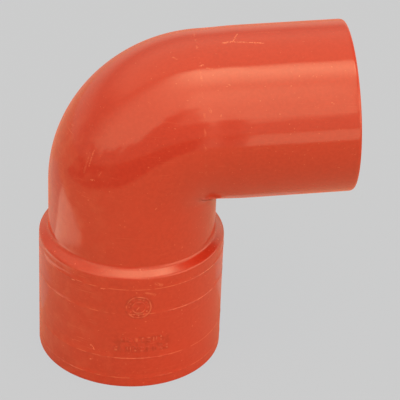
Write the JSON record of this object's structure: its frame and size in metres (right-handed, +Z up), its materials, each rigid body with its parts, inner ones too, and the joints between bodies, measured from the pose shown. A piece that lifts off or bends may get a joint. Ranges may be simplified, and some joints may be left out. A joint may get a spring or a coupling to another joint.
{
  "type": "pvc street elbow",
  "caption": "Street elbow for solvent-welded drain pipe, moulded in one piece: a socket, a short neck, a bend of nearly a right angle and a plain spigot.",
  "frame": {"origin": "centre of the socket's mouth, in the plane of its rim", "axes": "+Z up the socket's axis, +X the way the spigot leaves, +Y across the mould's parting plane"},
  "size_m": [0.0905, 0.0552, 0.103],
  "materials": {
    "moulded_pvc": "semi-gloss terracotta orange moulded PVC with light handling scratches"
  },
  "bodies": {
    "root": {"elbow": "moulded_pvc"}
  },
  "joints": []
}
